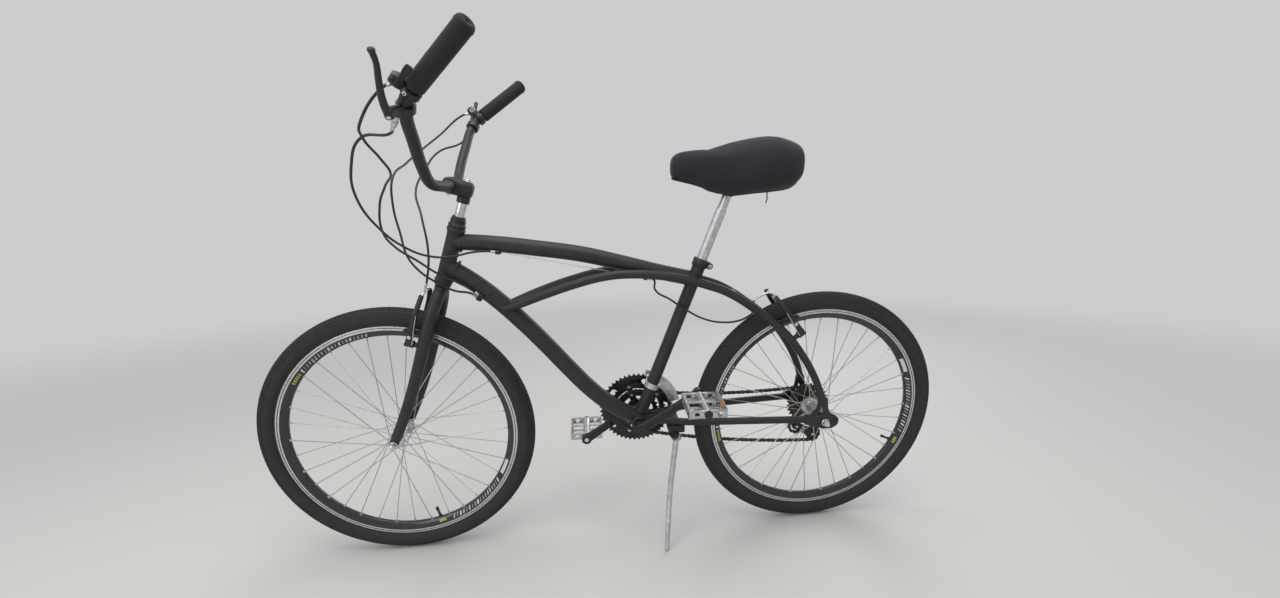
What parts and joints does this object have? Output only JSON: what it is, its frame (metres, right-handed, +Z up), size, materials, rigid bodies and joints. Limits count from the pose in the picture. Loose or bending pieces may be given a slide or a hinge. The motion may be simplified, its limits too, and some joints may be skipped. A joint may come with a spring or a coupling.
{
  "type": "bicycle",
  "caption": "City bicycle with a bowed twin-tube frame, swept bar, rim brakes, chain drive and a side stand; it steers, rolls, pedals and leans on its stand.",
  "frame": {"origin": "middle of the box bottom, on the floor under the bicycle, which leans to its left on its stand", "axes": "+X the way it rides, +Y to the rider's left, +Z up"},
  "size_m": [1.7166, 0.708, 1.2181],
  "materials": {
    "black_paint": "satin",
    "black_plastic": "satin",
    "black_steel": "satin",
    "tyre_rubber": "matte",
    "foam": "matte",
    "fabric": "matte",
    "alloy": "satin",
    "steel": "polished",
    "rim_alloy": "brushed"
  },
  "bodies": {
    "frame": {"bottom_bracket_shell": "black_paint", "chain": "black_steel", "chain_stay_left": "black_paint", "chain_stay_right": "black_paint", "derailleur_cage": "black_steel", "down_tube": "black_paint", "front_derailleur": "alloy", "front_shift_cable": "black_plastic", "head_tube": "black_paint", "rear_axle": "steel", "rear_brake_cable": "black_plastic", "rear_brake_housing": "black_plastic", "rear_brake_left": "black_plastic", "rear_brake_right": "black_plastic", "rear_brake_wire": "steel", "rear_derailleur": "black_plastic", "rear_shift_cable": "black_plastic", "saddle_cover": "fabric", "saddle_rails": "black_steel", "seat_clamp": "black_paint", "seat_post": "alloy", "seat_stay_bridge": "black_paint", "seat_tube": "black_paint", "side_tube_left": "black_paint", "side_tube_right": "black_paint", "stand_bracket": "black_steel", "stand_plate": "black_paint", "top_tube": "black_paint"},
    "steering": {"brake_lever_left": "black_plastic", "brake_lever_right": "black_plastic", "fork_blade_left": "black_paint", "fork_blade_right": "black_paint", "front_axle": "steel", "front_brake_cable": "black_plastic", "front_brake_left": "black_plastic", "front_brake_right": "black_plastic", "grip_left": "foam", "grip_right": "foam", "handlebar": "black_paint", "headset_nut": "black_steel", "shifter_left": "black_plastic", "shifter_right": "black_plastic", "steerer": "black_paint", "stem": "black_paint"},
    "front_wheel": {"front_hub": "alloy", "front_rim": "rim_alloy", "front_tyre": "tyre_rubber"},
    "rear_wheel": {"rear_hub": "alloy", "rear_rim": "rim_alloy", "rear_tyre": "tyre_rubber"},
    "crankset": {"chainrings": "black_steel", "crank_left": "black_steel", "crank_right": "black_steel"},
    "freewheel": {"freewheel": "black_steel"},
    "pedal_left": {"pedal_left": "alloy"},
    "pedal_right": {"pedal_right": "alloy"},
    "side_stand": {"stand_leg": "alloy"}
  },
  "joints": [
    {"name": "steering_turn", "type": "hinge", "parent": "frame", "child": "steering", "pos_m": [0.38722, -0.05675, 0.709], "axis": [-0.3223, 0.1317, 0.9374], "range_deg": [-60, 60], "deforming": ["rear_brake_cable", "front_shift_cable", "rear_shift_cable"]},
    {"name": "front_wheel_spin", "type": "hinge", "parent": "steering", "child": "front_wheel", "pos_m": [0.53185, -0.11095, 0.32332], "axis": [0, 0.9903, -0.1392], "continuous": true},
    {"name": "rear_wheel_spin", "type": "hinge", "parent": "frame", "child": "rear_wheel", "pos_m": [-0.53185, -0.11095, 0.32332], "axis": [0, 0.9903, -0.1392], "continuous": true},
    {"name": "crank_spin", "type": "hinge", "parent": "frame", "child": "crankset", "pos_m": [-0.05985, -0.11033, 0.32778], "axis": [0, 0.9903, -0.1392], "continuous": true},
    {"name": "freewheel_spin", "type": "hinge", "parent": "frame", "child": "freewheel", "pos_m": [-0.53185, -0.11095, 0.32332], "axis": [0, 0.9903, -0.1392], "continuous": true},
    {"name": "left_pedal_spin", "type": "hinge", "parent": "crankset", "child": "pedal_left", "pos_m": [-0.19738, -0.01274, 0.41497], "axis": [0, 0.9903, -0.1392], "continuous": true},
    {"name": "right_pedal_spin", "type": "hinge", "parent": "crankset", "child": "pedal_right", "pos_m": [0.07768, -0.20791, 0.24059], "axis": [0, 0.9903, -0.1392], "continuous": true},
    {"name": "side_stand_fold", "type": "hinge", "parent": "frame", "child": "side_stand", "pos_m": [-0.15255, -0.07866, 0.28293], "axis": [0.5483, 0.5557, 0.625], "range_deg": [0, 124]}
  ],
  "couplings": [
    {"joint": "freewheel_spin", "follows": "crank_spin", "ratio": 1.1667}
  ]
}
